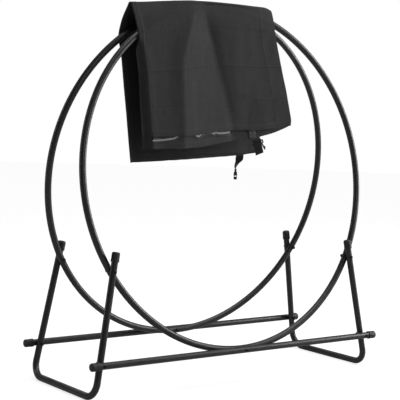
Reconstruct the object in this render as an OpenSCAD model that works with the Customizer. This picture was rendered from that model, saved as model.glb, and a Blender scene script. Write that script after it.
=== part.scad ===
// Firewood log rack. Two round tube hoops stand on two U-shaped legs, two rails tie the legs
// together, and a folded fabric cover hangs over the top of the hoops.
// X runs along the rack, Y from the front to the back, Z up.
// The origin is on the floor, below the middle of the rack.

/* [Hoops] */
// Outside diameter of each hoop
hoop_od = 1016; // [960:4:1060]
// Distance between the centrelines of the two hoops at their tops
hoop_top_spacing = 42; // [38:1:50]
// Height of the rails and of the lowest point of each hoop's centreline
rail_z = 100; // [96:1:110]

/* [Tube] */
// Outside diameter of every tube
tube_d = 19; // [18.5:0.5:20]
// Wall thickness of every tube
tube_wall = 1.2; // [1:0.1:1.5]

/* [Base] */
// Distance between the centrelines of the two rails
rail_spacing = 369; // [360:1:380]
// Length of a rail with both of its end caps
rail_length = 1032; // [1020:2:1050]
// Distance between the bottom bars of the two legs
foot_spacing = 984; // [970:2:1000]
// Height of the legs with their end caps
leg_height = 397; // [390:1:410]
// How far each leg leans towards the middle, in degrees
leg_lean = 10.4; // [9:0.2:12]
// Centreline radius of the bends at the bottom of each leg
leg_bend_r = 42; // [36:1:46]

/* [Fasteners and caps] */
// Thread diameter of every bolt
bolt_d = 6; // [5:0.5:6.5]
// Outside diameter of an end cap
cap_d = 23.4; // [22.4:0.2:24]
// Length of an end cap
cap_length = 27; // [24:1:30]

/* [Cover] */
// Thickness of the folded cover on each side of the hoops
cover_t = 5; // [4:0.5:7]
// Width of the webbing straps
webbing_w = 25; // [20:1:26]

/* [Hidden] */
$fn = 96;
tube_r = tube_d / 2;
bore_r = tube_r - tube_wall;
gap = 0.3;                                // between two tubes that are bolted together
pitch = tube_d + gap;                     // centreline distance of two bolted tubes
rail_y = rail_spacing / 2;

// Hoops. Each hoop lies in a plane that leans towards the other hoop.
hoop_r = (hoop_od - tube_d) / 2;          // centreline radius
hoop_top_y = hoop_top_spacing / 2;
hoop_low_y = rail_y - pitch;
hoop_lean = asin((hoop_low_y - hoop_top_y) / (2 * hoop_r));
hoop_mid_y = (hoop_low_y + hoop_top_y) / 2;
hoop_z = rail_z + hoop_r * cos(hoop_lean);
hoop_top_z = hoop_z + hoop_r * cos(hoop_lean);
side_joint = 27;                          // the side joints are this far below the middle
top_joint = 93;                           // the top joint, from the right end of the middle
spigot_length = 55;
spigot_r = bore_r - 0.2;
spigot_span = spigot_length / hoop_r * 180 / PI;
neck_span = 4 / hoop_r * 180 / PI;        // the thick ring where a reduced end begins
spigot_wall = 1.2;

// Legs. A leg is drawn flat, with the bottom bar along its X, and is then stood up.
foot_x = foot_spacing / 2;
lean_k = tan(leg_lean);

// Where a hoop and an upright cross in the front view.
cross_a = foot_x - lean_k * (hoop_z - tube_r);
cross_q = lean_k ^ 2 + 1 / cos(hoop_lean) ^ 2;
cross_root = sqrt((cross_a * lean_k) ^ 2 - cross_q * (cross_a ^ 2 - hoop_r ^ 2));
cross_z = hoop_z + (cross_a * lean_k - cross_root) / cross_q;
cross_x = foot_x - lean_k * (cross_z - tube_r);
cross_hoop_y = hoop_mid_y + tan(hoop_lean) * (hoop_z - cross_z);
cross_leg_y = cross_hoop_y + tube_d + 0.5; // both tubes slope here, so they need 0.5
rail_bolt_x = foot_x - lean_k * (rail_z - tube_r);

// The uprights of a leg close in towards each other, from the rails to the hoops.
leg_toe = atan((hoop_low_y - cross_leg_y) / (cross_z - rail_z) * cos(leg_lean));
corner_y = hoop_low_y + (rail_z - tube_r) / cos(leg_lean) * tan(leg_toe);
bar_half = corner_y - leg_bend_r * tan((90 + leg_toe) / 2);
upright_u = bar_half + leg_bend_r * cos(leg_toe);
upright_v = leg_bend_r * (1 + sin(leg_toe));
cap_end = 3;                              // thickness of a cap's closed end
upright_length = ((leg_height - tube_r) / cos(leg_lean) - upright_v) / cos(leg_toe) - cap_end;

// Fasteners
hole_r = bolt_d / 2 + 0.3;
head_r = bolt_d * 0.9;
head_h = bolt_d * 0.55;
nut_af = bolt_d * 10 / 6;
nut_h = bolt_d * 0.8;
nut_dome_h = bolt_d * 0.6;
head_gap = 0.5;                           // from a sloping tube to a bolt's head
nut_gap = 1;                              // and to its nut
tie_gap = 0.2;                            // from the level tubes at the top to what ties them

// Cover. Its section is the same all along; the two outlines give its sides.
ridge_z = hoop_top_z + tube_r + 1;
shoulder_z = ridge_z - 112;
ridge_half = hoop_top_y + tube_r + 5;     // wide enough to clear the heads of the top bolts
shoulder_half = 49;
hem_half = 52;
front_outline = [[-303, 0], [188, 0], [268, -345], [258, -360], [0, -408], [-110, -422], [-270, -428]];
back_outline = [[-303, 0], [190, 0], [214, -440], [-254, -468]];

// Straps and buckle, hanging from the inside of the cover's lower edges
webbing_t = 1.6;
strap_x = 128;
front_strap_top = ridge_z - 352;
rear_strap_top = ridge_z - 425;
front_strap_l = 56;
rear_strap_l = 74;
strap_y = hem_half - 0.4 - webbing_t / 2;
buckle_w = webbing_w + 9;
socket_l = 36;
socket_t = 11;
plug_l = 16;
plug_t = 6;

// ---- tubes ----

module ring(outer, inner) {
    difference() {
        circle(outer);
        circle(inner);
    }
}

module straight_tube(length) {
    linear_extrude(length) ring(tube_r, bore_r);
}

// A bent rod from one angle to another, round the origin.
module bent_rod(bend_r, from, to, rod_r) {
    rotate([0, 0, from]) rotate_extrude(angle = to - from) translate([bend_r, 0]) circle(rod_r);
}

// A hole or a shank along Y, from y0 to y1.
module along_y(x, z, r, y0, y1) {
    translate([x, y0, z]) rotate([-90, 0, 0]) cylinder(r = r, h = y1 - y0);
}

module front_or_rear(side) {
    mirror([0, side == "rear" ? 1 : 0, 0]) children();
}

module left_or_right(side) {
    mirror([side == "right" ? 1 : 0, 0, 0]) children();
}

// ---- hoops, drawn for the front ----

module hoop_plane() {
    translate([0, -hoop_mid_y, hoop_z]) rotate([90 - hoop_lean, 0, 0]) children();
}

// A hoop's tube between two angles. A reduced end goes on past low by low_span, and past
// high by high_span. Inside, the bore is narrow in the reduced ends and in the necks.
module arc_tube(low, high, low_span = 0, high_span = 0) {
    over = 0.1;
    low_neck = low_span > 0 ? neck_span : -over;
    high_neck = high_span > 0 ? neck_span : -over;
    difference() {
        union() {
            bent_rod(hoop_r, low, high, tube_r);
            if (low_span + high_span > 0) bent_rod(hoop_r, low - low_span, high + high_span, spigot_r);
        }
        bent_rod(hoop_r, low - low_span - over, high + high_span + over, spigot_r - spigot_wall);
        bent_rod(hoop_r, low + low_neck, high - high_neck, bore_r);
    }
}

module hoop_lower_arc(side) {
    color("#26282a") front_or_rear(side) difference() {
        hoop_plane() arc_tube(180 + side_joint, 360 - side_joint, spigot_span, spigot_span);
        for (x = [-cross_x, cross_x])
            along_y(x, cross_z, hole_r, -cross_hoop_y - tube_d, -cross_hoop_y + tube_d);
        along_y(0, rail_z, hole_r, -hoop_low_y - tube_d, -hoop_low_y + tube_d);
    }
}

module top_tie_hole() {
    along_y(0, hoop_top_z, hole_r, -hoop_top_y - tube_d, -hoop_top_y + tube_d);
}

module hoop_right_arc(side) {
    color("#26282a") front_or_rear(side) difference() {
        hoop_plane() arc_tube(-side_joint, top_joint);
        top_tie_hole();
    }
}

module hoop_left_arc(side) {
    color("#26282a") front_or_rear(side) difference() {
        hoop_plane() arc_tube(top_joint, 180 + side_joint, low_span = spigot_span);
        top_tie_hole();
    }
}

// ---- legs ----

module leg_plane() {
    translate([-foot_x, 0, tube_r]) rotate([0, leg_lean, 0]) rotate([90, 0, 90]) children();
}

module upright_axis() {
    translate([upright_u, upright_v, 0]) rotate([0, 0, leg_toe]) rotate([-90, 0, 0]) children();
}

// An upright is a hair thinner than the bend that it grows from, and starts a little inside it.
module upright() {
    lap = 0.5;
    step = 0.15;
    translate([0, 0, -lap]) linear_extrude(upright_length + lap) ring(tube_r - step, bore_r + step);
}

module half_leg() {
    rotate([0, 90, 0]) straight_tube(bar_half);
    translate([bar_half, leg_bend_r, 0]) rotate([0, 0, -90])
        rotate_extrude(angle = 90 + leg_toe) translate([leg_bend_r, 0]) ring(tube_r, bore_r);
    upright_axis() rotate([0, 0, 90]) upright();
}

module leg(side) {
    color("#26282a") left_or_right(side) difference() {
        leg_plane() {
            half_leg();
            mirror([1, 0, 0]) half_leg();
        }
        for (end = ["front", "rear"]) front_or_rear(end) {
            along_y(-cross_x, cross_z, hole_r, -cross_leg_y - tube_d, -cross_leg_y + tube_d);
            along_y(-rail_bolt_x, rail_z, hole_r, -hoop_low_y - tube_d, -hoop_low_y + tube_d);
        }
    }
}

// ---- rails ----

module rail(side) {
    color("#26282a") front_or_rear(side) difference() {
        length = rail_length - 2 * cap_end;
        translate([-length / 2, -rail_y, rail_z]) rotate([0, 90, 0]) straight_tube(length);
        for (x = [-rail_bolt_x, 0, rail_bolt_x])
            along_y(x, rail_z, hole_r, -rail_y - tube_d, -rail_y + tube_d);
    }
}

// ---- end caps ----

// A cap along +Z. The tube ends at z = 0 and the closed end of the cap is past it.
module end_cap() {
    round_r = 5;
    collar = 8;
    groove = 1.2;
    body_r = cap_d / 2;
    open_z = cap_end - cap_length;
    color("#1d1e1f") rotate_extrude() difference() {
        union() {
            translate([0, open_z]) square([body_r, collar]);
            translate([0, open_z]) square([body_r - 0.7, cap_length - round_r]);
            translate([0, open_z + collar + groove])
                square([body_r - 0.3, cap_length - collar - groove - round_r]);
            translate([0, open_z]) square([body_r - 0.3 - round_r, cap_length]);
            translate([body_r - 0.3 - round_r, cap_end - round_r]) circle(round_r);
        }
        translate([0, open_z - 1]) square([tube_r + 0.1, cap_length - cap_end + 1]);
        translate([-2 * body_r, open_z - 1]) square([2 * body_r, cap_length + 2]);
    }
}

module rail_cap(front_rear, side) {
    front_or_rear(front_rear) left_or_right(side)
        translate([-rail_length / 2 + cap_end, -rail_y, rail_z]) rotate([0, -90, 0]) end_cap();
}

module leg_cap(side, front_rear) {
    left_or_right(side) front_or_rear(front_rear)
        leg_plane() mirror([1, 0, 0]) upright_axis()
            translate([0, 0, upright_length]) end_cap();
}

// ---- bolts and nuts, drawn for the front: the head is outside, the nut inside ----

module bolt(x, z, y_head, shank) {
    socket_r = bolt_d / 3;
    color("#2c2e30") translate([x, y_head, z]) rotate([-90, 0, 0]) {
        cylinder(r = bolt_d / 2, h = shank);
        difference() {
            translate([0, 0, -head_h]) cylinder(r1 = head_r * 0.55, r2 = head_r, h = head_h);
            translate([0, 0, -head_h - 1]) cylinder(r = socket_r, h = head_h * 0.6 + 1, $fn = 6);
        }
    }
}

// A bolt that reaches past the nut's flat part.
module nut_bolt(x, z, y_head, y_nut) {
    bolt(x, z, y_head, y_nut + nut_h + 1 - y_head);
}

module cap_nut(x, z, y_nut) {
    corner_r = nut_af / 2 / cos(30);
    color("#2c2e30") translate([x, y_nut, z]) rotate([-90, 0, 0]) difference() {
        union() {
            cylinder(r = corner_r, h = nut_h, $fn = 6);
            translate([0, 0, nut_h]) cylinder(r1 = nut_af * 0.46, r2 = nut_af * 0.3, h = nut_dome_h);
        }
        translate([0, 0, -1]) cylinder(r = bolt_d / 2 + 0.05, h = nut_h + 2.3);
    }
}

module each_corner() {
    for (end = ["front", "rear"], side = ["left", "right"])
        front_or_rear(end) left_or_right(side) children();
}

module each_side() {
    for (end = ["front", "rear"]) front_or_rear(end) children();
}

leg_head_y = -cross_leg_y - tube_r - head_gap;
leg_nut_y = -cross_hoop_y + tube_r + nut_gap;
rail_head_y = -rail_y - tube_r - head_gap;
rail_nut_y = -hoop_low_y + tube_r + nut_gap;
tie_half = hoop_top_y - tube_r - tie_gap;
tie_head_y = -hoop_top_y - tube_r - tie_gap;

module hoop_to_leg_bolts() { each_corner() nut_bolt(-cross_x, cross_z, leg_head_y, leg_nut_y); }
module hoop_to_leg_nuts() { each_corner() cap_nut(-cross_x, cross_z, leg_nut_y); }
module rail_to_leg_bolts() { each_corner() nut_bolt(-rail_bolt_x, rail_z, rail_head_y, rail_nut_y); }
module rail_to_leg_nuts() { each_corner() cap_nut(-rail_bolt_x, rail_z, rail_nut_y); }
module rail_to_hoop_bolts() { each_side() nut_bolt(0, rail_z, rail_head_y, rail_nut_y); }
module rail_to_hoop_nuts() { each_side() cap_nut(0, rail_z, rail_nut_y); }

// The two top bolts screw into the ends of a threaded spacer between the hoops.
module top_tie_bolts() { each_side() bolt(0, hoop_top_z, tie_head_y, tube_d + 7); }

module top_tie_spacer() {
    color("#1d1e1f") translate([0, -tie_half, hoop_top_z]) rotate([-90, 0, 0])
        linear_extrude(2 * tie_half) ring(6.5, bolt_d / 2 + 0.05);
}

// ---- cover ----

// One half of the cover's section: a thin skin from the ridge down to the hem.
module cover_section(drop) {
    polygon([
        [0, ridge_z], [ridge_half, ridge_z], [shoulder_half, shoulder_z], [hem_half, ridge_z - drop],
        [hem_half + cover_t, ridge_z - drop], [shoulder_half + cover_t, shoulder_z],
        [ridge_half + 2, ridge_z + 4], [0, ridge_z + 4]
    ]);
}

// The half behind the hoops, cut to its outline, which is measured from the ridge.
module cover_half(outline) {
    drop = 600;
    intersection() {
        translate([-400, 0, 0]) rotate([90, 0, 90]) linear_extrude(800) cover_section(drop);
        translate([0, 100, ridge_z + 4.5]) rotate([90, 0, 0]) linear_extrude(100) polygon(outline);
    }
}

module cover() {
    color("#33363a") {
        mirror([0, 1, 0]) cover_half(front_outline);
        cover_half(back_outline);
    }
}

module strap(length) {
    translate([-webbing_w / 2, -webbing_t / 2, -length]) cube([webbing_w, webbing_t, length]);
}

module cover_front_strap() {
    color("#202224") translate([strap_x, -strap_y, front_strap_top]) strap(front_strap_l);
}

module cover_rear_strap() {
    color("#202224") translate([strap_x, strap_y, rear_strap_top]) strap(rear_strap_l);
}

// The buckle's female half, with its mouth downwards. The strap ends in the slot on top.
module buckle_socket() {
    slot_l = 7;
    mouth_w = buckle_w - 8;
    mouth_t = socket_t - 4;
    color("#1a1b1c") translate([strap_x, strap_y, rear_strap_top - rear_strap_l]) difference() {
        translate([-buckle_w / 2, -socket_t / 2, slot_l - socket_l])
            cube([buckle_w, socket_t, socket_l]);
        translate([-webbing_w / 2 - 0.5, -webbing_t / 2 - 0.4, -0.5])
            cube([webbing_w + 1, webbing_t + 0.8, slot_l + 1]);
        translate([-mouth_w / 2, -mouth_t / 2, slot_l - socket_l - 1])
            cube([mouth_w, mouth_t, socket_l - slot_l - 4]);
    }
}

// The buckle's male half: a crossbar that holds the strap, two sprung arms and a middle guide.
module buckle_plug() {
    slot_l = 7;
    arm_l = 24;
    arm_w = 5;
    arm_x = webbing_w / 2 - arm_w + 1.5;
    color("#1a1b1c") translate([strap_x, -strap_y, front_strap_top - front_strap_l]) difference() {
        union() {
            translate([-buckle_w / 2, -plug_t / 2, slot_l - plug_l])
                cube([buckle_w, plug_t, plug_l]);
            for (side = [-1, 1]) translate([side * (arm_x + arm_w / 2), 0, 0]) {
                translate([-arm_w / 2, -plug_t / 2 + 0.5, slot_l - plug_l - arm_l])
                    cube([arm_w, plug_t - 1, arm_l + 1]);
            }
            translate([-2, -plug_t / 2 + 1, slot_l - plug_l - arm_l + 5])
                cube([4, plug_t - 2, arm_l - 4]);
        }
        translate([-webbing_w / 2 - 0.5, -webbing_t / 2 - 0.4, -0.5])
            cube([webbing_w + 1, webbing_t + 0.8, slot_l + 1]);
    }
}

// ---- every node ----

hoop_lower_arc("front");  // front_hoop_lower_arc
hoop_left_arc("front");  // front_hoop_left_arc
hoop_right_arc("front");  // front_hoop_right_arc
hoop_lower_arc("rear");  // rear_hoop_lower_arc
hoop_left_arc("rear");  // rear_hoop_left_arc
hoop_right_arc("rear");  // rear_hoop_right_arc
leg("left");  // left_leg
leg("right");  // right_leg
rail("front");  // front_rail
rail("rear");  // rear_rail
rail_cap("front", "left");  // front_rail_left_cap
rail_cap("front", "right");  // front_rail_right_cap
rail_cap("rear", "left");  // rear_rail_left_cap
rail_cap("rear", "right");  // rear_rail_right_cap
leg_cap("left", "front");  // left_leg_front_cap
leg_cap("left", "rear");  // left_leg_rear_cap
leg_cap("right", "front");  // right_leg_front_cap
leg_cap("right", "rear");  // right_leg_rear_cap
hoop_to_leg_bolts();
hoop_to_leg_nuts();
rail_to_leg_bolts();
rail_to_leg_nuts();
rail_to_hoop_bolts();
rail_to_hoop_nuts();
top_tie_bolts();
top_tie_spacer();
cover();
cover_front_strap();
cover_rear_strap();
buckle_socket();
buckle_plug();
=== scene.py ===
"""Looks of the firewood log rack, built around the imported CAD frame.

Lengths are in metres: X along the rack, Y from front to back, Z up, and the floor at Z = 0.
The frame's tubes, caps and bolts keep their CAD shape and get their materials here. The
cover, its straps and the buckle are built here, in the space that their CAD solids hold.
"""
import bisect
import functools
import math

import bmesh
import bpy
from mathutils import Matrix, Vector, noise


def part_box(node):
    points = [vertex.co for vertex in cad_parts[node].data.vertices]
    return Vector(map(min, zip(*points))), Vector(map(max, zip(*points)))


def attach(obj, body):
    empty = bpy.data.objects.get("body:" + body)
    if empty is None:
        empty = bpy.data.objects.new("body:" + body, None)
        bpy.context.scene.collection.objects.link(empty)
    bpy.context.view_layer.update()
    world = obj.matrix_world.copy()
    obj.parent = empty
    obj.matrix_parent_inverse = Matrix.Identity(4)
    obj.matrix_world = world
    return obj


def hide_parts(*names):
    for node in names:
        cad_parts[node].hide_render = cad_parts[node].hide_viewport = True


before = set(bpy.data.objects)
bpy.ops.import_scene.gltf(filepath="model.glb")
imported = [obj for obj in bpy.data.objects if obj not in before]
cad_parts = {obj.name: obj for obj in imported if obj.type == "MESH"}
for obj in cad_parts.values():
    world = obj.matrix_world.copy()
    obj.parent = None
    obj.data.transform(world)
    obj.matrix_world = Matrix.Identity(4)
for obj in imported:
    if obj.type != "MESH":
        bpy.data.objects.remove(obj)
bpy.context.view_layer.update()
MM = 0.001


# ---- places taken from the frame ----

hoop_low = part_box("front_hoop_lower_arc")[0].z
hoop_high = max(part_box("front_hoop_left_arc")[1].z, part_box("front_hoop_right_arc")[1].z)
hoop_middle = (hoop_low + hoop_high) / 2
ridge_low = hoop_high + 1.0 * MM             # the inner layer's middle surface, on top of the hoops


# ---- camera ----

def make_camera():
    """Stands off the hoops' middle; yaw, pitch and roll turn it away from looking straight there."""
    azimuth, elevation = math.radians(-36.851), math.radians(2.887)
    yaw, pitch, roll = math.radians(-0.5393), math.radians(-1.2444), math.radians(1.735)
    distance = 3.5117
    back = Vector((math.sin(azimuth) * math.cos(elevation),
                   -math.cos(azimuth) * math.cos(elevation), math.sin(elevation)))
    aim = -back
    right = aim.cross(Vector((0, 0, 1))).normalized()
    aim = (aim + math.tan(yaw) * right + math.tan(pitch) * right.cross(aim)).normalized()
    right = aim.cross(Vector((0, 0, 1))).normalized()
    up = right.cross(aim)
    side = right * math.cos(roll) + up * math.sin(roll)
    top = up * math.cos(roll) - right * math.sin(roll)
    data = bpy.data.cameras.new("camera")
    data.lens = 106.23
    camera = bpy.data.objects.new("camera", data)
    place = Vector((0, 0, hoop_middle)) + back * distance
    camera.matrix_world = Matrix.Translation(place) @ Matrix((side, top, -aim)).transposed().to_4x4()
    bpy.context.scene.collection.objects.link(camera)
    bpy.context.scene.camera = camera


make_camera()


# ---- studio ----

def area_light(name, place, aim, size, power):
    data = bpy.data.lights.new(name, "AREA")
    data.shape = "RECTANGLE"
    data.size, data.size_y = size
    data.energy = power
    light = bpy.data.objects.new(name, data)
    light.location = place
    light.rotation_euler = (Vector(aim) - Vector(place)).to_track_quat("-Z", "Y").to_euler()
    bpy.context.scene.collection.objects.link(light)


# How bright the white room and its floor are to dull surfaces, in reflections and to the eye.
ROOM_FELT, ROOM_MIRRORED, ROOM_SEEN = 0.05, 0.045, 1.0
FLOOR_MIRRORED, FLOOR_SEEN = 0.1, 0.76


def make_studio():
    """A white room lit from above, with soft boxes round the rack."""
    world = bpy.data.worlds.new("studio")
    bpy.context.scene.world = world
    world.use_nodes = True
    nodes, links = world.node_tree.nodes, world.node_tree.links
    nodes.clear()
    output = nodes.new("ShaderNodeOutputWorld")
    path = nodes.new("ShaderNodeLightPath")
    last = None                              # each ray kind's light replaces the ones before it
    for ray, strength in (("", ROOM_FELT), ("Is Glossy Ray", ROOM_MIRRORED), ("Is Camera Ray", ROOM_SEEN)):
        light = nodes.new("ShaderNodeBackground")
        light.inputs["Color"].default_value = (1, 1, 1, 1)
        light.inputs["Strength"].default_value = strength
        if last:
            mix = nodes.new("ShaderNodeMixShader")
            links.new(path.outputs[ray], mix.inputs[0])
            links.new(last.outputs[0], mix.inputs[1])
            links.new(light.outputs[0], mix.inputs[2])
            light = mix
        last = light
    links.new(last.outputs[0], output.inputs[0])

    sun = bpy.data.lights.new("top_sun", "SUN")
    sun.energy, sun.angle = 1.7, math.radians(50)
    lamp = bpy.data.objects.new("top_sun", sun)
    lamp.rotation_euler = (math.radians(8), math.radians(10), 0)
    bpy.context.scene.collection.objects.link(lamp)
    area_light("key_box", place=(3.5, -1.5, 1.7), aim=(0, 0, 0.75), size=(1.5, 2.2), power=128)
    area_light("front_box", place=(-0.9, -3.6, 2.0), aim=(0, 0, 0.7), size=(1.5, 1.2), power=15)
    area_light("left_strip", place=(-2.6, 1.6, 1.5), aim=(0, 0, 0.8), size=(0.22, 2.2), power=14)
    area_light("back_box", place=(0.4, 3.0, 2.2), aim=(0, 0, 0.8), size=(2.6, 1.8), power=16)

    mesh = bpy.data.meshes.new("floor")
    shape = bmesh.new()
    bmesh.ops.create_circle(shape, cap_ends=True, segments=96, radius=14)
    shape.to_mesh(mesh)
    shape.free()
    floor = bpy.data.objects.new("floor", mesh)
    bpy.context.scene.collection.objects.link(floor)
    floor.data.materials.append(plain_floor())
    bpy.context.scene.view_settings.view_transform = "Standard"


# ---- materials ----

class Maker:
    """A node material: a Principled shader and short ways to add what drives it."""

    def __init__(self, name, color, roughness, **sockets):
        self.material = bpy.data.materials.new(name)
        self.material.use_nodes = True
        self.nodes = self.material.node_tree.nodes
        self.links = self.material.node_tree.links
        self.shader = self.nodes["Principled BSDF"]
        self.base = color
        self.shader.inputs["Base Color"].default_value = (*color, 1)
        self.shader.inputs["Roughness"].default_value = roughness
        for socket, value in sockets.items():
            self.shader.inputs[socket.replace("_", " ")].default_value = value
        self.height = None

    def add(self, kind, **settings):
        node = self.nodes.new("ShaderNode" + kind)
        for key, value in settings.items():
            setattr(node, key, value)
        return node

    def place(self):
        return self.add("TexCoord").outputs["Object"]

    def cloth_place(self):
        return self.add("UVMap", uv_map="cloth").outputs["UV"]

    def scaled(self, vector, scale):
        node = self.add("Mapping")
        node.inputs["Scale"].default_value = scale
        self.links.new(vector, node.inputs["Vector"])
        return node.outputs["Vector"]

    def noise(self, vector, scale, detail=3.0, rough=0.55):
        node = self.add("TexNoise")
        node.inputs["Scale"].default_value = scale
        node.inputs["Detail"].default_value = detail
        node.inputs["Roughness"].default_value = rough
        self.links.new(vector, node.inputs["Vector"])
        return node.outputs["Fac"]

    def math(self, operation, a, b=None):
        node = self.add("Math", operation=operation)
        for socket, value in zip(node.inputs, (a, b)):
            if isinstance(value, (int, float)):
                socket.default_value = value
            elif value is not None:
                self.links.new(value, socket)
        return node.outputs[0]

    def span(self, value, low, high, from_low=0.3, from_high=0.7):
        node = self.add("MapRange")
        self.links.new(value, node.inputs["Value"])
        for socket, number in (("From Min", from_low), ("From Max", from_high),
                               ("To Min", low), ("To Max", high)):
            node.inputs[socket].default_value = number
        return node.outputs["Result"]

    def tint(self, factor, dark, light):
        """Base colour between dark and light times the base."""
        node = self.add("Mix", data_type="RGBA")
        self.links.new(factor, node.inputs["Factor"])
        node.inputs["A"].default_value = (*(c * dark for c in self.base), 1)
        node.inputs["B"].default_value = (*(c * light for c in self.base), 1)
        self.links.new(node.outputs["Result"], self.shader.inputs["Base Color"])

    def roughness(self, value):
        self.links.new(value, self.shader.inputs["Roughness"])

    def bump(self, height, distance, strength=1.0):
        """Adds a bump on top of the ones before it."""
        node = self.add("Bump")
        node.inputs["Distance"].default_value = distance
        node.inputs["Strength"].default_value = strength
        self.links.new(height, node.inputs["Height"])
        if self.height:
            self.links.new(self.height, node.inputs["Normal"])
        self.height = node.outputs["Normal"]
        self.links.new(self.height, self.shader.inputs["Normal"])


def plain_floor():
    """Near white to the eye, while it throws only a plain floor's light back on the rack."""
    made = Maker("pale_floor", (0.36, 0.36, 0.36), 0.9, Emission_Color=(1, 1, 1, 1))
    made.tint(made.span(made.noise(made.place(), 1.5), 0, 1), 0.99, 1.0)
    path = made.add("LightPath")
    seen = made.math("MULTIPLY", path.outputs["Is Camera Ray"], FLOOR_SEEN)
    mirrored = made.math("MULTIPLY", path.outputs["Is Glossy Ray"], FLOOR_MIRRORED)
    made.links.new(made.math("ADD", seen, mirrored), made.shader.inputs["Emission Strength"])
    return made.material


def powder_coat():
    """Satin black powder coat with fine orange peel and a tone that varies a little at random."""
    made = Maker("powder_coat", (0.0115, 0.0117, 0.012), 0.4, Coat_Weight=0.12, Coat_Roughness=0.3)
    where = made.place()
    made.tint(made.span(made.noise(where, 55, 4), 0, 1), 0.82, 1.25)
    made.roughness(made.span(made.noise(where, 24, 5), 0.34, 0.46))
    made.bump(made.noise(where, 700, 2), 0.02 * MM, 0.3)
    made.bump(made.noise(where, 200, 2), 0.06 * MM, 0.3)
    return made.material


def moulded_plastic(name, color, low, high, grain):
    """Plastic with a fine grain, its roughness between low and high."""
    made = Maker(name, color, (low + high) / 2)
    where = made.place()
    made.tint(made.span(made.noise(where, 80, 4), 0, 1), 0.85, 1.15)
    made.roughness(made.span(made.noise(where, 120, 4), low, high))
    made.bump(made.noise(where, grain, 3), 0.08 * MM, 0.6)
    return made.material


def blackened_steel():
    """The dark finish of the bolts and nuts."""
    made = Maker("blackened_steel", (0.032, 0.033, 0.035), 0.34, Metallic=0.85)
    where = made.place()
    made.tint(made.span(made.noise(where, 300, 4), 0, 1), 0.7, 1.3)
    made.roughness(made.span(made.noise(where, 500, 3), 0.26, 0.44))
    made.bump(made.noise(where, 1500, 2), 0.03 * MM, 0.5)
    return made.material


def woven(made, where, pitch, depth):
    """Plain weave: the warp and weft threads rise over each other in turn."""
    split = made.add("SeparateXYZ")
    made.links.new(made.scaled(where, (math.tau / pitch,) * 3), split.inputs[0])
    warp = made.math("SINE", split.outputs["X"])
    weft = made.math("SINE", split.outputs["Y"])
    made.bump(made.math("MULTIPLY", warp, weft), depth)


# Where the cloth was folded in its packet: distances in its own UV map, and how sharply.
FOLD_LINES_DOWN = [(-0.325, 0.3), (-0.222, 1.0), (-0.105, 0.25), (0.135, 0.3), (0.265, 0.8), (0.4, 0.3)]
FOLD_LINES_ACROSS = [(0.165, 0.25), (0.33, 0.3), (0.475, 0.45)]


def cover_cloth():
    """Charcoal polyester with a plain weave, slubs and faint fold lines from its packing."""
    made = Maker("cover_cloth", (0.037, 0.037, 0.0375), 0.74,
                 Sheen_Weight=0.04, Sheen_Roughness=0.4, Specular_IOR_Level=0.14)
    where = made.cloth_place()
    slubs = made.noise(made.scaled(where, (18, 420, 1)), 1.0, 3)
    threads = made.noise(made.scaled(where, (520, 16, 1)), 1.0, 3)
    mottle = made.noise(made.scaled(where, (9, 6, 1)), 1.0, 5)
    mixed = made.math("ADD", made.math("MULTIPLY", slubs, 0.3), made.math("MULTIPLY", threads, 0.25))
    mixed = made.math("ADD", mixed, made.math("MULTIPLY", mottle, 0.45))
    made.tint(made.span(mixed, 0, 1, 0.36, 0.64), 0.84, 1.18)
    made.roughness(made.span(mottle, 0.66, 0.8))
    made.bump(mottle, 2.6 * MM, 0.7)
    made.bump(made.noise(made.scaled(where, (30, 22, 1)), 1.0, 5, 0.62), 1.1 * MM, 0.6)
    split = made.add("SeparateXYZ")
    made.links.new(where, split.inputs[0])
    for axis, lines in (("Y", FOLD_LINES_DOWN), ("X", FOLD_LINES_ACROSS)):
        for line, strength in lines:
            away = made.math("ABSOLUTE", made.math("SUBTRACT", split.outputs[axis], line))
            made.bump(made.span(away, 1, 0, 0, 3.5 * MM), 0.6 * MM, strength)
    woven(made, where, 1.0 * MM, 0.07 * MM)
    return made.material


def webbing():
    """Black webbing with ribs across it."""
    made = Maker("webbing", (0.011, 0.0112, 0.0118), 0.62, Sheen_Weight=0.05)
    where = made.cloth_place()
    made.tint(made.span(made.noise(made.scaled(where, (700, 90, 1)), 1.0, 3), 0, 1), 0.8, 1.3)
    woven(made, where, 1.7 * MM, 0.16 * MM)
    return made.material


# ---- the cover's cloth ----
#
# The cloth is folded once along its right edge into an outer and an inner layer, and hung
# over both hoops. In each panel, s runs from the open left edge (0) to the fold (1), and t
# from the ridge (0) to the hem (1). FRONT is the side at negative Y.

FRONT, BACK = -1, 1
CLOTH_T = 0.9 * MM
HEM_T = 2.2 * MM
HEM_WIDTH = 18 * MM
LAYER_GAP = 2.0 * MM
HEM_GAP = 4.6 * MM
LAYER_WIDTH = 0.53                           # flat width of one layer
PANEL = {FRONT: 0.42, BACK: 0.50}            # flat length from the ridge to each hem

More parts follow.
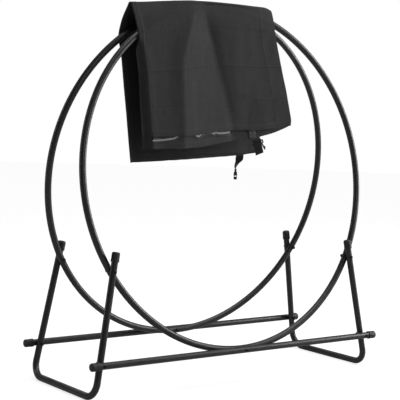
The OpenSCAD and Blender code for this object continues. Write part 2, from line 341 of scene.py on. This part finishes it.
# Panel edges as (how far below the ridge, x), and hem drops along s.
LEFT_EDGE = {FRONT: [(0, -0.303), (0.13, -0.302), (0.2, -0.291), (0.3, -0.281), (0.4, -0.271)],
             BACK: [(0, -0.303), (0.1, -0.309), (0.17, -0.297), (0.28, -0.281), (0.47, -0.254)]}
RIGHT_EDGE = {FRONT: [(0, 0.180), (0.07, 0.187), (0.157, 0.209), (0.252, 0.238), (0.36, 0.273)],
              BACK: [(0, 0.180), (0.12, 0.192), (0.25, 0.205), (0.44, 0.216)]}
OUTER_HEM = {FRONT: [(0, 0.393), (0.27, 0.388), (0.54, 0.371), (0.77, 0.368), (1, 0.352)],
             BACK: [(0, 0.471), (0.25, 0.465), (0.55, 0.456), (0.8, 0.448), (1, 0.438)]}
INNER_HEM = {FRONT: [(0, 0.428), (0.3, 0.422), (0.5, 0.408), (0.6, 0.398), (0.8, 0.384), (1, 0.352)],
             BACK: [(0, 0.458), (0.5, 0.446), (1, 0.438)]}
RIDGE_DROP = [(0, 0.021), (0.1, 0.0165), (0.2, 0.011), (0.38, 0.003), (0.5, 0), (0.9, 0.0005),
              (0.97, 0.0015), (1, 0.006)]

HOOP_REACH = 34.8 * MM                       # from the ridge out to the cloth, beside the hoops' tops
HOOP_LEAN = math.tan(math.radians(8.3))      # how fast the hoops spread on the way down
TUBE_R = 9.5 * MM
LEAVES_HOOP = 11 * MM                        # how far below the ridge the cloth leaves the hoops
LEVEL_TOP = 26 * MM                          # half the level strip over the hoops' tops
SECTION_STEPS = 10                           # fine steps between two points of the section

# Faint creases of the hung cloth, as (t or s, height in millimetres).
CREASES_ALONG = [(0.27, -0.55), (0.53, 0.55), (0.79, -0.55)]
CREASES_DOWN = [(0.3, 0.45), (0.62, -0.45), (0.9, 0.45)]
HEM_WAVE = 1.6                               # how far the hems wander, in millimetres
CORNER_ROUND = 6 * MM                        # how far the folded edge turns in at its lower corner
FOLD_ROUND = 1.6 * MM                        # bulge where one layer turns into the other
MESH_STEP = 5 * MM                           # away from the hems and the ridge
EDGE_ROLL = {FRONT: 24 * MM, BACK: 10 * MM}  # radius to which the open left edge curls in

# The front panel's big soft fold runs from a ridge down to a valley, given as (drop, x).
FOLD_RIDGE = [(0, -0.104), (0.03, -0.114), (0.085, -0.130), (0.16, -0.151), (0.23, -0.154), (0.4, -0.144)]
FOLD_VALLEY = [(0, -0.086), (0.04, -0.069), (0.08, -0.051), (0.18, -0.017), (0.283, 0.020), (0.4, 0.055)]
FOLD_HEIGHT, FOLD_DEPTH, FOLD_LIP = 15.5, 10.5, 1.2          # millimetres
RIDGE_TURN, VALLEY_TURN = 12 * MM, 1.5 * MM  # the ridge turns softly, and the valley sharply


def ease(low, high, value):
    """From 0 at low to 1 at high, level at both ends."""
    k = min(max((value - low) / (high - low), 0), 1)
    return k * k * (3 - 2 * k)


def bell(value, width):
    return math.exp(-(value / width) ** 2)


def fade(away, turn, reach):
    """From 1 towards 0 over reach, rounded off at the start by turn."""
    return math.exp(-(math.hypot(away, turn) - turn) / reach)


def follow(points, at):
    """A smooth curve through points (at, value), straight past its ends."""
    for i in range(len(points) - 1):
        if at <= points[i + 1][0] or i == len(points) - 2:
            break
    (x0, y0), (x1, y1) = points[i], points[i + 1]
    slope = (y1 - y0) / (x1 - x0)
    before = (y0 - points[i - 1][1]) / (x0 - points[i - 1][0]) if i else slope
    after = slope
    if i + 2 < len(points):
        after = (points[i + 2][1] - y1) / (points[i + 2][0] - x1)
    k = (at - x0) / (x1 - x0)
    if not 0 <= k <= 1:
        return (y0 + (at - x0) * slope) if k < 0 else (y1 + (at - x1) * slope)
    m0, m1 = (before + slope) / 2 * (x1 - x0), (after + slope) / 2 * (x1 - x0)
    return ((2 * k ** 3 - 3 * k ** 2 + 1) * y0 + (k ** 3 - 2 * k ** 2 + k) * m0
            + (3 * k ** 2 - 2 * k ** 3) * y1 + (k ** 3 - k ** 2) * m1)


@functools.lru_cache(maxsize=None)
def section(s):
    """The half section at s, as a fine list of (run along the cloth, out, down).

    The cloth goes from the ridge to the outside of the hoop below it, and then hangs down."""
    x = (1 - s) * LEFT_EDGE[FRONT][0][1] + s * RIGHT_EDGE[FRONT][0][1]
    hoop_radius = (hoop_high - hoop_low) / 2 - TUBE_R
    fall = hoop_radius - math.sqrt(hoop_radius ** 2 - x ** 2)
    out = HOOP_REACH + fall * HOOP_LEAN
    down = max(fall + LEAVES_HOOP - follow(RIDGE_DROP, s), LEAVES_HOOP)
    flat = LEVEL_TOP * (1 - (1 if x < 0 else 0.3) * ease(0, 0.05, fall))
    # Corners (out, down): level over the hoop, round its outside, then down.
    points = [(0, 0), (0.4 * flat + 4 * MM, 0.3 * MM), (flat + 7 * MM, 1.4 * MM + 0.06 * down),
              ((flat + out) / 2 + 3.5 * MM, 0.45 * down), (out - 2.2 * MM, down - 6 * MM),
              (out, down + 3 * MM), (out + 1.5 * MM, down + 20 * MM), (out + 3 * MM, down + 60 * MM),
              (out + 4 * MM, 0.3), (out + 4 * MM, 0.55)]
    outs = [(i, corner[0]) for i, corner in enumerate(points)]
    downs = [(i, corner[1]) for i, corner in enumerate(points)]
    line, run = [(0.0, 0.0, 0.0)], 0.0
    for k in range(1, SECTION_STEPS * (len(points) - 1) + 1):
        out, down = follow(outs, k / SECTION_STEPS), follow(downs, k / SECTION_STEPS)
        run += math.hypot(out - line[-1][1], down - line[-1][2])
        line.append((run, out, down))
    return line


def along(line, column, value):
    """The entry of line, a section, where its column reaches value."""
    i = min(bisect.bisect_left([entry[column] for entry in line], value, 1), len(line) - 1)
    a, b = line[i - 1], line[i]
    k = (value - a[column]) / (b[column] - a[column])
    return [p + (q - p) * k for p, q in zip(a, b)]


def big_fold(x, drop):
    """The front panel's fold: it rises to a ridge line, slopes down to a valley line, and
    comes back to the flat. In millimetres."""
    ridge, valley = follow(FOLD_RIDGE, drop), follow(FOLD_VALLEY, drop)
    high = FOLD_HEIGHT * ease(-0.02, 0.12, drop)
    low = FOLD_DEPTH * ease(0.02, 0.10, drop)
    lip = FOLD_LIP * ease(0.04, 0.12, drop) * bell(x - valley, 3.2 * MM)
    if x < ridge:
        return high * fade(x - ridge, RIDGE_TURN, 42 * MM)
    if x < valley:
        return high - (high + low) * (x - ridge) / (valley - ridge) + lip
    return -low * fade(x - valley, VALLEY_TURN, 30 * MM) + lip


def swell(layer, side, s, t, x, drop):
    """How far the cloth stands off its plain section, in metres."""
    free = ease(0.02, 0.09, drop)
    seed = 3.0 if side == FRONT else 11.0
    wide = noise.noise(Vector((x * 8, drop * 2.6, seed)))
    small = noise.noise(Vector((x * 26, drop * 11, seed + 5)))
    fine = noise.noise(Vector((x * 75, drop * 48, seed + 9)))
    off = free * (wide * 3.2 + small * 0.9) + (0.3 + 0.7 * free) * fine * 0.28       # millimetres
    if side == FRONT:
        off += big_fold(x, drop)
        off -= 7 * ease(0.24, 0.37, drop) * ease(0.02, 0.10, x)      # the right side tucks in
    for line, height in CREASES_ALONG:
        off += height * math.exp(-abs(t - line) * 120)
    for line, height in CREASES_DOWN:
        off += height * math.exp(-abs(s - line) * 150)
    off += ease(0.86, 1.0, t) * HEM_WAVE * noise.noise(Vector((x * 21, seed, 2.0 * layer)))
    return off * MM


def curl(side, s, drop):
    """The open left edge rolls in towards the rack, most of all below the hoops."""
    roll = EDGE_ROLL[side]
    from_flat = max(roll - s * LAYER_WIDTH, 0)
    return (roll - math.sqrt(roll ** 2 - from_flat ** 2)) * ease(0.112, 0.165, drop)


def cloth_point(layer, side, s, t):
    """A point of the cloth's middle surface. layer is 0 inside and 1 outside, or between the
    two round the fold, where s goes past 1."""
    past = max(s - 1, 0) * LAYER_WIDTH
    s = min(s, 1)
    hems = follow(INNER_HEM[side], s), follow(OUTER_HEM[side], s)
    hem = hems[0] + (hems[1] - hems[0]) * (layer > 0.5 or s == 1)
    wave = noise.noise(Vector((s * 13, 4.0 * side, 6.0 * round(layer))))
    hem += HEM_WAVE * MM * wave * (1 - ease(0.9, 1, s))
    ridge = follow(RIDGE_DROP, s)
    line = section(round(s, 5))
    run = t * along(line, 2, hem - ridge)[0]
    _, out, down = along(line, 0, run)
    _, out_next, down_next = along(line, 0, run + MM)
    normal = Vector((down_next - down, -(out_next - out))).normalized()   # (out, down)
    drop = ridge + down
    x = (1 - s) * follow(LEFT_EDGE[side], drop) + s * follow(RIGHT_EDGE[side], drop)
    x -= CORNER_ROUND * ease(0.95, 1.0, s) * ease(0.92, 1.0, t) ** 2
    gap = LAYER_GAP + (HEM_GAP - LAYER_GAP) * ease(0.12, 0.3, drop) * (1 - 0.5 * ease(0.8, 1, s))
    off = layer * gap + swell(layer, side, s, t, x, drop)
    out += normal.x * off - curl(side, s, drop)
    down += normal.y * off
    return Vector((x + past, side * out, ridge_low - ridge - down))


def cloth_frame(layer, side, s, t):
    """A point of the cloth, the direction along s, the direction down along t, and outwards."""
    step = 0.002                             # of a panel
    here = cloth_point(layer, side, s, t)
    across = cloth_point(layer, side, s + step, t) - cloth_point(layer, side, s - step, t)
    down = cloth_point(layer, side, s, min(t + step, 1)) - cloth_point(layer, side, s, t - step)
    across.normalize()
    down.normalize()
    return here, across, down, across.cross(down).normalized() * side


def hem_steps(length, inner_step):
    """Distances from an edge, closer together where the hem is."""
    steps = [0, 0.8 * MM, 2.5 * MM, 7 * MM, 12.5 * MM,
             HEM_WIDTH - 0.7 * MM, HEM_WIDTH + 0.5 * MM, HEM_WIDTH + 3 * MM]
    count = round((length - steps[-1]) / inner_step)
    return steps + [steps[-1] + (length - steps[-1]) * (k + 1) / count for k in range(count)]


def grid_columns():
    """(layer, s) of each column: the outer layer, the fold, then the inner layer."""
    across = [distance / LAYER_WIDTH for distance in hem_steps(LAYER_WIDTH, MESH_STEP)]
    turn = 8
    fold = []
    for k in range(1, turn):
        angle = math.pi * k / turn
        fold.append(((1 + math.cos(angle)) / 2, 1 + FOLD_ROUND * math.sin(angle) / LAYER_WIDTH))
    return [(1, s) for s in across] + fold + [(0, s) for s in reversed(across)]


def grid_rows():
    """(side, t) of each row: from the front hem over the ridge to the back hem."""
    rows = {}
    for side, length in PANEL.items():
        down = [1 - distance / length for distance in hem_steps(length, MESH_STEP)]
        near_ridge = [k * 1.6 * MM / length for k in range(1, 28)]       # closer together here
        rows[side] = sorted({round(t, 6) for t in down if t > near_ridge[-1] + 2 * MM} | set(near_ridge))
    return [(FRONT, t) for t in reversed(rows[FRONT])] + [(BACK, 0.0)] + [(BACK, t) for t in rows[BACK]]


def cloth_uv(layer, side, s, t):
    """The point's place on the cloth laid flat, in metres."""
    u = s * LAYER_WIDTH if layer > 0.5 else (2 - s) * LAYER_WIDTH
    return u, side * t * PANEL[side]


def thickness(side, s, t):
    """Two layers in the hems, one elsewhere."""
    from_edge = min((1 - t) * PANEL[side], s * LAYER_WIDTH)
    return HEM_T + (CLOTH_T - HEM_T) * ease(HEM_WIDTH - 0.8 * MM, HEM_WIDTH + 0.6 * MM, from_edge)


def new_object(name, mesh, material):
    piece = bpy.data.objects.new(name, mesh)
    bpy.context.scene.collection.objects.link(piece)
    mesh.materials.append(material)
    for polygon in mesh.polygons:
        polygon.use_smooth = True
    return piece


def closed_sheet(name, points, uvs, thick, material):
    """A closed sheet round a grid of middle points, each with its own thickness."""
    rows, columns = len(points), len(points[0])
    middle = bmesh.new()
    grid = [[middle.verts.new(p) for p in row] for row in points]
    for j in range(rows - 1):
        for i in range(columns - 1):
            middle.faces.new((grid[j][i], grid[j][i + 1], grid[j + 1][i + 1], grid[j + 1][i]))
    middle.normal_update()
    shape = bmesh.new()
    layer = shape.loops.layers.uv.new("cloth")
    skins = []
    for sign in (1, -1):
        skins.append([[shape.verts.new(v.co + v.normal * (sign * thick[j][i] / 2))
                       for i, v in enumerate(row)] for j, row in enumerate(grid)])

    def face(corners):
        made = shape.faces.new([skins[k][j][i] for k, j, i in corners])
        for loop, (_, j, i) in zip(made.loops, corners):
            loop[layer].uv = uvs[j][i]

    for j in range(rows - 1):
        for i in range(columns - 1):
            around = [(j, i), (j, i + 1), (j + 1, i + 1), (j + 1, i)]
            face([(0, *c) for c in around])
            face([(1, *c) for c in reversed(around)])
    rim = ([(0, i) for i in range(columns)] + [(j, columns - 1) for j in range(1, rows)]
           + [(rows - 1, i) for i in range(columns - 2, -1, -1)] + [(j, 0) for j in range(rows - 2, 0, -1)])
    for a, b in zip(rim, rim[1:] + rim[:1]):
        face([(0, *b), (0, *a), (1, *a), (1, *b)])
    mesh = bpy.data.meshes.new(name)
    shape.to_mesh(mesh)
    shape.free()
    middle.free()
    return new_object(name, mesh, material)


def make_cover(material):
    columns, rows = grid_columns(), grid_rows()
    points = [[cloth_point(layer, side, s, t) for layer, s in columns] for side, t in rows]
    uvs = [[cloth_uv(layer, side, s, t) for layer, s in columns] for side, t in rows]
    thick = [[thickness(side, s, t) for layer, s in columns] for side, t in rows]
    return closed_sheet("cover_cloth", points, uvs, thick, material)


def add_prism(shape, centre, ahead, outward, length, width, height, taper=0.55):
    """A small eight-cornered block with tapered ends, for a stitch or a zip tooth."""
    side = ahead.cross(outward).normalized()
    rings = []
    for along_it, k in ((-0.5, taper), (-0.3, 1.0), (0.3, 1.0), (0.5, taper)):
        middle = centre + ahead * (along_it * length)
        half_side, half_out = side * (width / 2 * k), outward * (height / 2 * k)
        rings.append([shape.verts.new(middle + half_side * a + half_out * b)
                      for a, b in ((-1, -1), (1, -1), (1, 1), (-1, 1))])
    for first, second in zip(rings, rings[1:]):
        for k in range(4):
            shape.faces.new((first[k], first[k - 3], second[k - 3], second[k]))
    shape.faces.new(rings[0])
    shape.faces.new(reversed(rings[-1]))


def finish_mesh(name, shape, material):
    bmesh.ops.recalc_face_normals(shape, faces=shape.faces)
    mesh = bpy.data.meshes.new(name)
    shape.to_mesh(mesh)
    shape.free()
    return new_object(name, mesh, material)


def make_stitching(material):
    """Lockstitches along every hem, on the face of the cloth that shows."""
    shape = bmesh.new()
    pitch = 5 * MM
    inset = 3.2 * MM                         # from the edge to the first row of stitches
    lift = HEM_T / 2
    size = 3.6 * MM, 0.7 * MM, 0.6 * MM
    for layer in (1, 0):
        for side, panel in PANEL.items():
            for row in (inset, HEM_WIDTH - inset):
                for k in range(int((LAYER_WIDTH - HEM_WIDTH) / pitch)):
                    s = (row + (k + 0.5) * pitch) / LAYER_WIDTH
                    if s > 0.985:
                        break
                    here, across, _, out = cloth_frame(layer, side, s, 1 - row / panel)
                    add_prism(shape, here + out * lift, across, out, *size)
                for k in range(int((panel - row) / pitch)):
                    t = 1 - (row + (k + 0.5) * pitch) / panel
                    here, _, down, out = cloth_frame(layer, side, row / LAYER_WIDTH, max(t, 0.01))
                    add_prism(shape, here + out * lift, down, out, *size)
    return finish_mesh("cover_stitching", shape, material)


# How far the zip runs below the outer hem, along s; it slips under that hem in places.
ZIP_BELOW = [(0.03, 0.012), (0.1, 0.010), (0.16, 0.006), (0.2, -0.004), (0.29, -0.004), (0.325, 0.006),
             (0.35, 0.0015), (0.42, 0.0015), (0.445, 0.006), (0.457, 0.0035), (0.47, 0.0065), (0.6, 0.0065)]


def zip_line(s):
    """t of the inner front layer where the zip runs, just below the outer layer's hem."""
    ridge = follow(RIDGE_DROP, s)
    below = follow(ZIP_BELOW, s)
    return (follow(OUTER_HEM[FRONT], s) + below - ridge) / (follow(INNER_HEM[FRONT], s) - ridge)


def make_zip(tape_material, teeth_material):
    """A closed coil zip on the front of the inner layer, from the open edge to the middle."""
    start, stop, half = 0.035, 0.565, 9 * MM
    count = 110
    points, uvs, thick = [], [], []
    for offset in (-half, -half * 0.5, -1.5 * MM, 1.5 * MM, half * 0.5, half):
        row_points, row_uvs = [], []
        for k in range(count):
            s = start + (stop - start) * k / (count - 1)
            here, _, down, out = cloth_frame(0, FRONT, s, zip_line(s))
            row_points.append(here + down * offset + out * (HEM_T / 2 + 0.5 * MM))
            row_uvs.append((s * LAYER_WIDTH, offset))
        points.append(row_points)
        uvs.append(row_uvs)
        thick.append([0.7 * MM] * count)
    tape = closed_sheet("zip_tape", points, uvs, thick, tape_material)
    shape = bmesh.new()
    pitch = 2.8 * MM
    for k in range(int((stop - start) * LAYER_WIDTH / pitch)):
        s = start + k * pitch / LAYER_WIDTH
        here, across, down, out = cloth_frame(0, FRONT, s, zip_line(s))
        here += out * (HEM_T / 2 + 1.5 * MM) + down * (0.7 * MM * (-1) ** k)
        add_prism(shape, here, down, out, 4.4 * MM, 1.5 * MM, 1.5 * MM, taper=0.7)
    return tape, finish_mesh("zip_teeth", shape, teeth_material)


# ---- straps and buckle ----

STRAP_T = 1.4 * MM
STRAP_W = 25 * MM


class Local:
    """A buckle half's own axes: u across, v down and w outwards, in millimetres."""

    def __init__(self, place, turn, lean):
        turned = Matrix.Rotation(math.radians(turn), 3, "Z") @ Matrix.Rotation(math.radians(lean), 3, "Y")
        self.place = place
        self.across = turned @ Vector((1, 0, 0))
        self.down = turned @ Vector((0, 0, -1))
        self.out = turned @ Vector((0, -1, 0))

    def put(self, u, v, w):
        return self.place + (self.across * u + self.down * v + self.out * w) * MM


def rounded(corners, radius, steps=4):
    """A closed outline with its corners rounded."""
    outline = []
    for k, corner in enumerate(corners):
        here = Vector(corner)
        before, after = Vector(corners[k - 1]) - here, Vector(corners[(k + 1) % len(corners)]) - here
        reach = min(radius, before.length * 0.45, after.length * 0.45)
        a, b = here + before.normalized() * reach, here + after.normalized() * reach
        for j in range(steps + 1):
            part = j / steps
            outline.append(a * (1 - part) ** 2 + here * (2 * part * (1 - part)) + b * part ** 2)
    return outline


def add_plate(shape, local, corners, low, high, radius=1.2):
    """A plate with the outline of corners, in (u, v), from w = low to w = high."""
    outline = rounded(corners, radius)
    below, above = ([shape.verts.new(local.put(p.x, p.y, w)) for p in outline] for w in (low, high))
    shape.faces.new(below)
    shape.faces.new(reversed(above))
    for k in range(len(outline)):
        shape.faces.new((below[k], below[k - 1], above[k - 1], above[k]))


def both_sides(corners):
    """The outline and its mirror image across the buckle's middle."""
    return corners, [(-u, v) for u, v in corners]


def add_strap_frame(shape, local, floor_v):
    """The bar that the strap goes round, and the posts that hold it, down to v = floor_v."""
    add_plate(shape, local, [(-15, 0), (15, 0), (15, 3.4), (-15, 3.4)], -1.7, 1.7, 1.5)
    for post in both_sides([(13.4, -0.3), (17, -0.3), (17, floor_v + 1), (13.4, floor_v + 1)]):
        add_plate(shape, local, post, -2.1, 2.1)


def finish_moulding(name, shape, material):
    """Takes the sharp edges off and makes the object."""
    bmesh.ops.recalc_face_normals(shape, faces=shape.faces)
    sharp = [edge for edge in shape.edges if edge.calc_face_angle(0) > math.radians(50)]
    bmesh.ops.bevel(shape, geom=sharp, offset=0.45 * MM, segments=2, profile=0.5, affect="EDGES")
    return finish_mesh(name, shape, material)


def make_socket(local, material):
    """The half that takes the arms in: two shells with windows at the sides and an open mouth."""
    shape = bmesh.new()
    shell = [(-15.4, 7), (15.4, 7), (17, 12), (17, 29), (10, 29), (6.5, 25), (-6.5, 25), (-10, 29),
             (-17, 29), (-17, 12)]
    for face in (1, -1):
        add_plate(shape, local, shell, *sorted((3.0 * face, 4.9 * face)), 2.5)
        for rib in (12.5, 15.0, 17.5):
            grip = [(-5.5, rib), (5.5, rib), (5.5, rib + 1.2), (-5.5, rib + 1.2)]
            add_plate(shape, local, grip, *sorted((4.6 * face, 5.5 * face)), 0.5)
    add_plate(shape, local, [(-15, 7), (15, 7), (15, 9.6), (-15, 9.6)], -3.3, 3.3)
    for wall in both_sides([(13.6, 7.4), (16.4, 9), (17, 14), (17, 16.5), (13.6, 17.5)]):
        add_plate(shape, local, wall, -3.3, 3.3)
    for lip in both_sides([(14.2, 23.5), (17, 22.5), (17, 28.8), (14.2, 28.8)]):
        add_plate(shape, local, lip, -3.3, 3.3, 0.8)
    add_strap_frame(shape, local, 7)
    return finish_moulding("buckle_socket_half", shape, material)


def make_plug(local, material):
    """The half with a middle guide and two springy arms that end in barbs."""
    shape = bmesh.new()
    add_strap_frame(shape, local, 7)
    add_plate(shape, local, [(-17, 7.2), (17, 7.2), (16, 10.8), (-16, 10.8)], -2.6, 2.6)
    add_plate(shape, local, [(-3, 10.4), (3, 10.4), (2.3, 27), (1.4, 29), (-1.4, 29), (-2.3, 27)], -1.5, 1.5)
    arm = [(9, 10.4), (12.6, 10.4), (13, 19.5), (16.4, 21.8), (16, 26), (13, 31.6), (10.6, 32.6), (9.4, 24)]
    for corners in both_sides(arm):
        add_plate(shape, local, corners, -2.2, 2.2, 1.8)
    return finish_moulding("buckle_plug_half", shape, material)


# Ways of a strap round the bar of its buckle half, as (u, v, w).
BACK_AND_SEWN = [(0, -3.5, 0.8), (0, -0.6, 2.2), (0, 1.7, 2.6), (0, 3.7, 1.9), (0, 4.3, 0), (0, 3.7, -1.9),
                 (0, 1.7, -2.6), (0, -0.6, -2.2), (0, -3.5, -0.9), (0, -15, -0.9)]
THROUGH_TO_TAIL = [(0, -3.5, -0.8), (0, -0.6, -2.2), (0, 1.7, -2.6), (-0.5, 4.2, -1.2), (-1.5, 6.5, 1.8),
                   (-3, 11, 3.8), (-5, 20, 4.6), (-8, 38, 4.0)]


def make_strap(name, side, s, hang, local, end, material):
    """A strap sewn between the layers at a hem, down to a buckle half and round its bar.

    hang lists the free points between, as (millimetres across and above the buckle, turn, lean),
    and end is the way round the bar in the buckle's own axes."""
    lift = HEM_T / 2 + STRAP_T / 2 + 0.15 * MM
    places, acrosses = [], []
    for above in (22 * MM, 12 * MM, 2 * MM):
        here, across, _, out = cloth_frame(0, side, s, 1 - above / PANEL[side])
        places.append(here + out * lift)
        acrosses.append(across)
    for aside, above, turn, lean in hang:
        places.append(local.place + Vector((aside, 0, above)) * MM)
        acrosses.append(Local(local.place, turn, lean).across)
    places += [local.put(*point) for point in end]
    acrosses += [local.across] * len(end)
    fine, points, uvs = 6, [], []
    shares = (-1, -0.94, -0.5, 0, 0.5, 0.94, 1)          # across the strap, thinner at its edges
    run, last = 0.0, places[0]
    for k in range(fine * (len(places) - 1) + 1):
        at = k / fine
        here = Vector(follow([(i, p[axis]) for i, p in enumerate(places)], at) for axis in range(3))
        across = Vector(follow([(i, p[axis]) for i, p in enumerate(acrosses)], at) for axis in range(3))
        run += (here - last).length
        last = here
        across = across.normalized() * STRAP_W / 2
        points.append([here + across * u for u in shares])
        uvs.append([(u * STRAP_W / 2, run) for u in shares])
    thick = [[STRAP_T * share for share in (0.55, 1, 1, 1, 1, 1, 0.55)] for _ in points]
    return closed_sheet(name, points, uvs, thick, material)


def add_box_stitches(shape, local, low, high):
    """Rows of stitches across a strap where its end is sewn back on itself."""
    size = 2.0 * MM, 0.6 * MM, 0.6 * MM
    for v in (low, (low + high) / 2, high):
        for k in range(-4, 5):
            add_prism(shape, local.put(k * 2.6, v, 1.6), local.across, local.out, *size)


# ---- the frame's finishes ----

TUBE_NODES = [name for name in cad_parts
              if name.endswith(("_arc", "_rail", "_leg")) or name == "top_tie_spacer"]
CAP_NODES = [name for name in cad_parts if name.endswith("_cap")]
FASTENER_NODES = [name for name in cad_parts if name.endswith(("_bolts", "_nuts"))]


def dress(names, material):
    """Gives frame nodes their material."""
    for name in names:
        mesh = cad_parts[name].data
        mesh.materials.clear()
        mesh.materials.append(material)


make_studio()
dress(TUBE_NODES, powder_coat())
dress(CAP_NODES, moulded_plastic("cap_plastic", (0.013, 0.0132, 0.0137), 0.48, 0.62, 900))
dress(FASTENER_NODES, blackened_steel())


# ---- the cover and what is on it ----

thread = moulded_plastic("thread", (0.012, 0.012, 0.013), 0.5, 0.6, 900)
cover = make_cover(cover_cloth())
stitching = make_stitching(thread)
# The zip teeth's pale grey is partly the nylon's own colour and partly painted glint along the hem.
zip_tape, zip_teeth = make_zip(webbing(), moulded_plastic("zip_nylon_painted_glint", (0.55, 0.55, 0.54), 0.3, 0.45, 900))


# How the rear strap turns over on its way down, as make_strap takes it.
TWIST = [(14, 38, -34, -14), (13, 27, -34, -20), (4, 15, 15, -22), (0, 5, 48, -6)]


def strap_end(node, turn, lean):
    """The axes of the buckle half at the lower end of a strap."""
    low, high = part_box(node)
    return Local(Vector(((low.x + high.x) / 2, (low.y + high.y) / 2, low.z + 7 * MM)), turn, lean)


plug_at = strap_end("cover_front_strap", -34, -24)
socket_at = strap_end("cover_rear_strap", 52, -2)
strap_web = webbing()
buckle_plastic = moulded_plastic("buckle_plastic", (0.013, 0.0132, 0.014), 0.34, 0.5, 700)
front_strap = make_strap("front_strap", FRONT, 0.715, [], plug_at, THROUGH_TO_TAIL, strap_web)
rear_strap = make_strap("rear_strap", BACK, 0.835, TWIST, socket_at, BACK_AND_SEWN, strap_web)
buckle_socket = make_socket(socket_at, buckle_plastic)
buckle_plug = make_plug(plug_at, buckle_plastic)
sewing = bmesh.new()
add_box_stitches(sewing, socket_at, -13, -5)
strap_stitching = finish_mesh("strap_stitching", sewing, thread)

PIECES = {"cover_fabric": [cover], "webbing": [front_strap, rear_strap, zip_tape],
          "buckle": [buckle_socket, buckle_plug, zip_teeth], "": [stitching, strap_stitching]}
for slot, pieces in PIECES.items():
    for piece in pieces:
        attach(piece, "root")
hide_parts("cover")
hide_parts("cover_front_strap")
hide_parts("cover_rear_strap")
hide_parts("buckle_socket")
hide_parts("buckle_plug")
